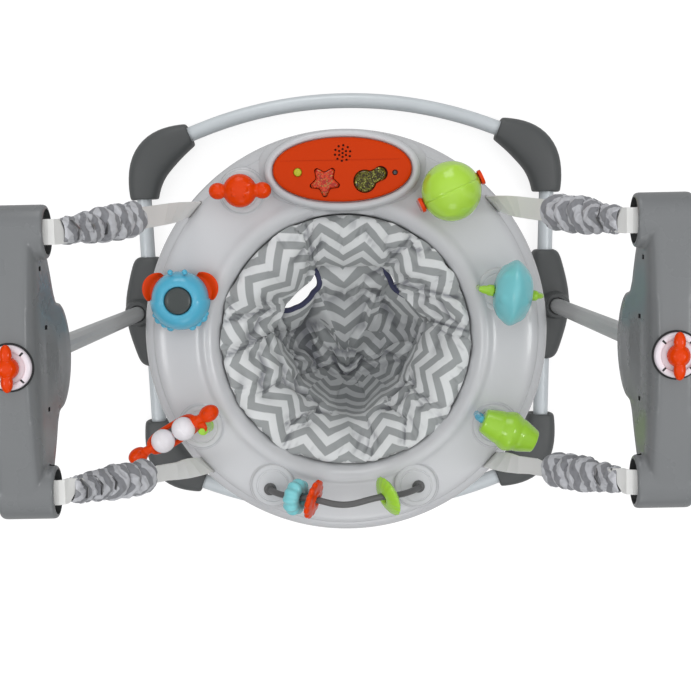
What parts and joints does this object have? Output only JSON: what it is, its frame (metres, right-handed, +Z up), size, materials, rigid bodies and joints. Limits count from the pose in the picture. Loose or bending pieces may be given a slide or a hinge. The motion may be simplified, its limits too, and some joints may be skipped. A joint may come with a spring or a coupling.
{
  "type": "baby activity jumper",
  "caption": "Free-standing baby jumper: round toy tray with a turning fabric seat, hung by sprung straps from two towers on a tubular base.",
  "frame": {"origin": "On the floor, at the middle of the bounding box.", "axes": "+Z up. +Y from the seat towards the sound panel. +X from the left tower to the right one, seen from the seat facing the panel."},
  "size_m": [0.7804, 0.7342, 0.9191],
  "materials": {
    "grey_tube": "light grey powder coat, semi gloss",
    "dark_plastic": "dark grey moulded, satin",
    "tower_plastic": "mid grey moulded, gloss",
    "white_plastic": "white moulded, gloss",
    "orange_plastic": "orange moulded, gloss",
    "tray_plastic": "pale grey moulded, gloss",
    "lime_plastic": "lime moulded, gloss",
    "teal_plastic": "teal moulded, gloss",
    "blue_plastic": "blue moulded, gloss",
    "grey_button": "grey moulded, satin",
    "red_glitter": "translucent red with glitter",
    "green_glitter": "translucent green with glitter",
    "wire_coating": "dark grey coated wire",
    "chevron_fabric": "woven, white and grey chevrons",
    "webbing": "pale grey woven webbing",
    "spring_steel": "bright spring wire"
  },
  "bodies": {
    "base": {"rear_tube": "grey_tube", "front_tube": "grey_tube", "left_side_tube": "grey_tube", "right_side_tube": "grey_tube", "left_rear_foot": "dark_plastic", "right_rear_foot": "dark_plastic", "left_front_foot": "dark_plastic", "right_front_foot": "dark_plastic", "left_leg_bracket": "dark_plastic", "right_leg_bracket": "dark_plastic", "left_upright": "grey_tube", "right_upright": "grey_tube", "left_tower_inner": "tower_plastic", "left_tower_outer": "tower_plastic", "right_tower_inner": "tower_plastic", "right_tower_outer": "tower_plastic", "left_dial": "white_plastic", "right_dial": "white_plastic", "left_rear_strap": "webbing", "left_front_strap": "webbing", "right_rear_strap": "webbing", "right_front_strap": "webbing", "left_rear_spring": "spring_steel", "left_front_spring": "spring_steel", "right_rear_spring": "spring_steel", "right_front_spring": "spring_steel", "left_rear_sleeve": "chevron_fabric", "left_front_sleeve": "chevron_fabric", "right_rear_sleeve": "chevron_fabric", "right_front_sleeve": "chevron_fabric"},
    "left_spinner_body": {"left_spinner": "orange_plastic"},
    "right_spinner_body": {"right_spinner": "orange_plastic"},
    "tray_body": {"tray": "tray_plastic", "tray_base": "tray_plastic", "battery_door": "tray_plastic", "panel_housing": "orange_plastic", "bead_wire": "wire_coating", "ball_yoke": "orange_plastic", "roller_arch": "lime_plastic", "drum_fork": "blue_plastic", "baton_post": "lime_plastic", "bug_post": "white_plastic", "crab_body": "blue_plastic"},
    "seat_body": {"seat_ring": "dark_plastic", "seat_pad": "chevron_fabric"},
    "star_body": {"star_button": "red_glitter"},
    "two_lobe_body": {"two_lobe_button": "green_glitter"},
    "power_body": {"power_button": "lime_plastic"},
    "crab_button_body": {"crab_button": "grey_button"},
    "crab_claws_body": {"crab_claws": "orange_plastic"},
    "bug_body": {"bug_toy": "orange_plastic"},
    "ball_body": {"rattle_ball": "lime_plastic"},
    "roller_body": {"bun_roller": "teal_plastic"},
    "drum_body": {"ribbed_drum": "lime_plastic"},
    "baton_body": {"baton_toy": "orange_plastic"},
    "baton_near_body": {"baton_near_ball": "white_plastic"},
    "baton_far_body": {"baton_far_ball": "white_plastic"},
    "teal_bead_body": {"teal_bead": "teal_plastic"},
    "orange_bead_body": {"orange_bead": "orange_plastic"},
    "green_bead_body": {"green_bead": "lime_plastic"}
  },
  "joints": [
    {"name": "bounce", "type": "slide", "parent": "base", "child": "tray_body", "axis": [0, 0, 1], "range_m": [-0.08, 0.04], "stiffness_N_per_m": 1300, "springref_m": 0.0432, "deforming": ["left_rear_strap", "left_rear_spring", "left_rear_sleeve", "left_front_strap", "left_front_spring", "left_front_sleeve", "right_rear_strap", "right_rear_spring", "right_rear_sleeve", "right_front_strap", "right_front_spring", "right_front_sleeve"]},
    {"name": "left_spinner_spin", "type": "hinge", "parent": "base", "child": "left_spinner_body", "pos_m": [-0.357, 0, 0.91], "axis": [0, 0, 1], "continuous": true},
    {"name": "right_spinner_spin", "type": "hinge", "parent": "base", "child": "right_spinner_body", "pos_m": [0.357, 0, 0.91], "axis": [0, 0, 1], "continuous": true},
    {"name": "seat_spin", "type": "hinge", "parent": "tray_body", "child": "seat_body", "pos_m": [0, -0.0225, 0.36], "axis": [0, 0, 1], "continuous": true},
    {"name": "star_press", "type": "slide", "parent": "tray_body", "child": "star_body", "axis": [0, 0, -1], "range_m": [0, 0.0025], "stiffness_N_per_m": 300},
    {"name": "two_lobe_press", "type": "slide", "parent": "tray_body", "child": "two_lobe_body", "axis": [0, 0, -1], "range_m": [0, 0.0025], "stiffness_N_per_m": 300},
    {"name": "power_press", "type": "slide", "parent": "tray_body", "child": "power_body", "axis": [0, 0, -1], "range_m": [0, 0.0025], "stiffness_N_per_m": 300},
    {"name": "crab_button_press", "type": "slide", "parent": "tray_body", "child": "crab_button_body", "axis": [0, 0, -1], "range_m": [0, 0.003], "stiffness_N_per_m": 300},
    {"name": "claws_swing", "type": "hinge", "parent": "tray_body", "child": "crab_claws_body", "pos_m": [-0.2348, 0.0427, 0.431], "axis": [0, 0, 1], "range_deg": [-12, 12]},
    {"name": "bug_spin", "type": "hinge", "parent": "tray_body", "child": "bug_body", "pos_m": [-0.1438, 0.1951, 0.46], "axis": [0, 0, 1], "continuous": true},
    {"name": "ball_spin", "type": "hinge", "parent": "tray_body", "child": "ball_body", "pos_m": [0.1505, 0.188, 0.481], "axis": [0.9135, 0.4067, 0], "continuous": true},
    {"name": "roller_spin", "type": "hinge", "parent": "tray_body", "child": "roller_body", "pos_m": [0.2345, 0.0455, 0.479], "axis": [0.9903, -0.1392, 0], "continuous": true},
    {"name": "drum_spin", "type": "hinge", "parent": "tray_body", "child": "drum_body", "pos_m": [0.228, -0.149, 0.479], "axis": [0.9135, -0.4067, 0], "continuous": true},
    {"name": "baton_swing", "type": "hinge", "parent": "tray_body", "child": "baton_body", "pos_m": [-0.2049, -0.1412, 0.478], "axis": [0, 0, 1], "range_deg": [-60, 3]},
    {"name": "near_ball_spin", "type": "hinge", "parent": "baton_body", "child": "baton_near_body", "pos_m": [-0.23229, -0.13796, 0.478], "axis": [-0.866, -0.5, 0], "continuous": true},
    {"name": "far_ball_spin", "type": "hinge", "parent": "baton_body", "child": "baton_far_body", "pos_m": [-0.25948, -0.15366, 0.478], "axis": [-0.866, -0.5, 0], "continuous": true},
    {"name": "teal_bead_spin", "type": "hinge", "parent": "tray_body", "child": "teal_bead_body", "pos_m": [-0.07462, -0.24, 0.46941], "axis": [0.8863, 0.0028, 0.4631], "continuous": true},
    {"name": "orange_bead_spin", "type": "hinge", "parent": "tray_body", "child": "orange_bead_body", "pos_m": [-0.04977, -0.24133, 0.4796], "axis": [0.946, -0.1408, 0.2919], "continuous": true},
    {"name": "green_bead_spin", "type": "hinge", "parent": "tray_body", "child": "green_bead_body", "pos_m": [0.05612, -0.24046, 0.47209], "axis": [0.905, -0.0008, -0.4254], "continuous": true}
  ]
}
